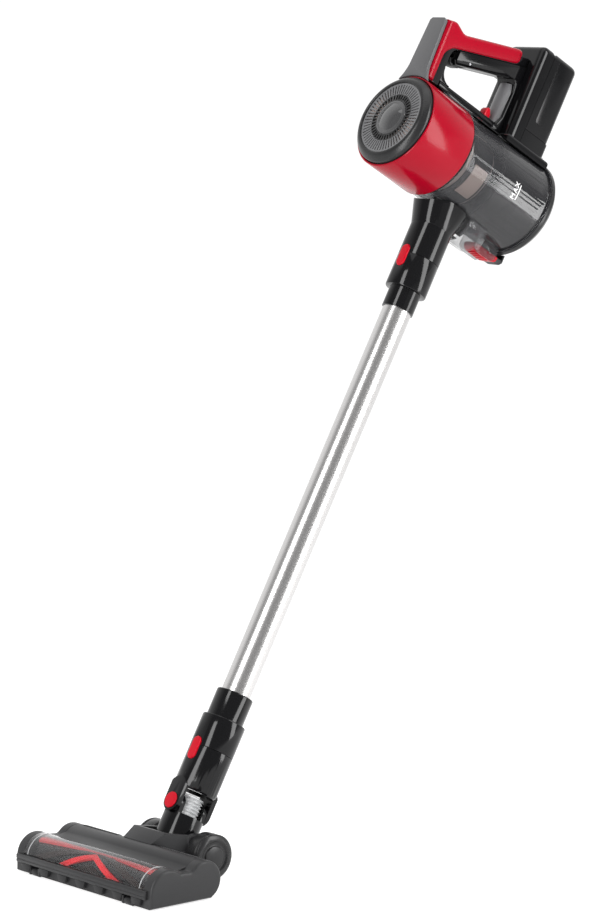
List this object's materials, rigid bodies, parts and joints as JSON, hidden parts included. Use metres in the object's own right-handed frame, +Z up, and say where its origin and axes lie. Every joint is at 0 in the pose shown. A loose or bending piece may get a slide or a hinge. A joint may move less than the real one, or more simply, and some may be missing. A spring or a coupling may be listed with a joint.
{
  "type": "cordless stick vacuum",
  "caption": "Cordless stick vacuum: motor unit with loop handle, battery and clear dust cup on a straight wand, with a tilting, pitching powered floor head.",
  "frame": {"origin": "on the floor, under the middle of the machine's bounding box", "axes": "+Z up, -Y the way the floor head faces, X along the brush roll"},
  "size_m": [0.25, 0.738, 0.9637],
  "materials": {
    "red_gloss": "gloss deep red",
    "red_satin": "satin bright red",
    "pillar_grey": "satin mid grey",
    "dark_grey": "satin dark grey",
    "black_gloss": "gloss black",
    "black_satin": "satin black",
    "smoke_clear": "clear smoked plastic",
    "clear": "clear plastic",
    "aluminium": "brushed and clear anodised",
    "steel": "bright steel",
    "rubber": "black rubber",
    "filter_felt": "pleated felt",
    "bristle_red": "red nylon bristle and dark plush",
    "cell_wrap": "shrink sleeve",
    "board": "circuit board",
    "hose": "ribbed flexible hose"
  },
  "bodies": {
    "main_unit": {"motor_housing": "red_gloss", "front_cover": "pillar_grey", "handle_cover_left": "red_gloss", "handle_cover_right": "red_gloss", "handle_core": "black_satin", "grip_underside": "black_gloss", "trigger_pin": "steel", "trigger_switch": "black_satin", "top_rail": "black_gloss", "rear_column": "pillar_grey", "battery_dock": "black_gloss", "charging_socket": "black_satin", "control_board": "board", "motor_can": "steel", "motor_mount": "rubber", "motor_bearings": "steel", "suction_neck": "black_gloss"},
    "rotor": {"rotor_shaft": "steel", "impeller": "aluminium"},
    "filter_cap": {"filter_ring": "dark_grey", "vent_grille": "dark_grey", "hub_dome": "dark_grey", "exhaust_filter": "filter_felt"},
    "trigger": {"trigger": "black_satin"},
    "bin_release": {"bin_release_tab": "red_satin"},
    "battery": {"battery_case": "black_gloss", "battery_cells": "cell_wrap"},
    "dust_cup": {"cup_shell": "smoke_clear", "inlet_port": "clear", "door_hinge_pin": "steel", "cup_seal": "rubber", "pre_filter": "filter_felt", "mesh_screen": "dark_grey", "cyclone_cone": "dark_grey"},
    "cup_door": {"cup_door": "dark_grey"},
    "door_latch": {"door_latch": "red_satin"},
    "wand": {"wand_tube": "aluminium", "upper_fitting": "black_gloss", "lower_fitting": "black_gloss"},
    "wand_button": {"wand_button": "red_satin"},
    "neck_upper": {"neck_sleeve": "black_gloss", "tilt_cap": "red_satin", "tilt_pins": "steel"},
    "neck_button": {"neck_button": "red_satin"},
    "neck_lower": {"neck_elbow": "black_gloss", "flex_hose": "hose"},
    "head": {"end_cap_left": "dark_grey", "end_cap_right": "dark_grey", "head_cover": "dark_grey", "brush_window": "clear", "sole_plate": "black_satin", "bumper": "dark_grey", "rear_bridge": "dark_grey", "wheel_axle": "steel", "brush_motor": "steel"},
    "brushroll": {"brush_core": "black_satin", "brush_bristles": "bristle_red"},
    "rear_wheel_left": {"rear_wheel_left": "dark_grey"},
    "rear_wheel_right": {"rear_wheel_right": "dark_grey"},
    "front_rollers": {"front_rollers": "black_satin"}
  },
  "joints": [
    {"name": "rotor_spin", "type": "hinge", "parent": "main_unit", "child": "rotor", "pos_m": [0, 0.14683, 0.81698], "axis": [0, -0.866, 0.5], "continuous": true},
    {"name": "filter_cap_twist", "type": "hinge", "parent": "main_unit", "child": "filter_cap", "pos_m": [0, 0.0992, 0.84448], "axis": [0, -0.866, 0.5], "range_deg": [0, 25]},
    {"name": "trigger_pull", "type": "hinge", "parent": "main_unit", "child": "trigger", "pos_m": [0, 0.20429, 0.90851], "axis": [-1, 0, 0], "range_deg": [0, 8], "stiffness_Nm_per_rad": 0.25, "springref_deg": -3.44},
    {"name": "bin_release_slide", "type": "slide", "parent": "main_unit", "child": "bin_release", "axis": [0, -0.866, 0.5], "range_m": [0, 0.004], "stiffness_N_per_m": 300, "springref_m": -0.001},
    {"name": "battery_slide", "type": "slide", "parent": "main_unit", "child": "battery", "axis": [0, 0.5, 0.866], "range_m": [0, 0.105]},
    {"name": "dust_cup_slide", "type": "slide", "parent": "main_unit", "child": "dust_cup", "axis": [0, 0.866, -0.5], "range_m": [0, 0.13]},
    {"name": "cup_door_hinge", "type": "hinge", "parent": "dust_cup", "child": "cup_door", "pos_m": [0, 0.32181, 0.79285], "axis": [1, 0, 0], "range_deg": [0, 95]},
    {"name": "door_latch_rock", "type": "hinge", "parent": "dust_cup", "child": "door_latch", "pos_m": [0, 0.23678, 0.68479], "axis": [-1, 0, 0], "range_deg": [0, 8], "stiffness_Nm_per_rad": 0.4, "springref_deg": -3.44},
    {"name": "wand_slide", "type": "slide", "parent": "main_unit", "child": "wand", "axis": [0, -0.5, -0.866], "range_m": [0, 0.045]},
    {"name": "wand_button_press", "type": "slide", "parent": "wand", "child": "wand_button", "axis": [0, 0.866, -0.5], "range_m": [0, 0.0025], "stiffness_N_per_m": 600, "springref_m": -0.001},
    {"name": "neck_slide", "type": "slide", "parent": "wand", "child": "neck_upper", "axis": [0, -0.5, -0.866], "range_m": [0, 0.045]},
    {"name": "neck_button_press", "type": "slide", "parent": "neck_upper", "child": "neck_button", "axis": [0, 0.866, -0.5], "range_m": [0, 0.0025], "stiffness_N_per_m": 600, "springref_m": -0.001},
    {"name": "neck_tilt", "type": "hinge", "parent": "neck_upper", "child": "neck_lower", "pos_m": [0, -0.21421, 0.07164], "axis": [0, 0.866, -0.5], "range_deg": [-40, 40]},
    {"name": "head_pitch", "type": "hinge", "parent": "neck_lower", "child": "head", "pos_m": [0, -0.22116, 0.026], "axis": [1, 0, 0], "range_deg": [-30, 50]},
    {"name": "brush_spin", "type": "hinge", "parent": "head", "child": "brushroll", "pos_m": [0, -0.33916, 0.0196], "axis": [1, 0, 0], "continuous": true},
    {"name": "wheel_left_spin", "type": "hinge", "parent": "head", "child": "rear_wheel_left", "pos_m": [0.047, -0.22116, 0.026], "axis": [1, 0, 0], "continuous": true},
    {"name": "wheel_right_spin", "type": "hinge", "parent": "head", "child": "rear_wheel_right", "pos_m": [-0.047, -0.22116, 0.026], "axis": [1, 0, 0], "continuous": true},
    {"name": "roller_spin", "type": "hinge", "parent": "head", "child": "front_rollers", "pos_m": [0, -0.36266, 0.005], "axis": [1, 0, 0], "continuous": true}
  ]
}
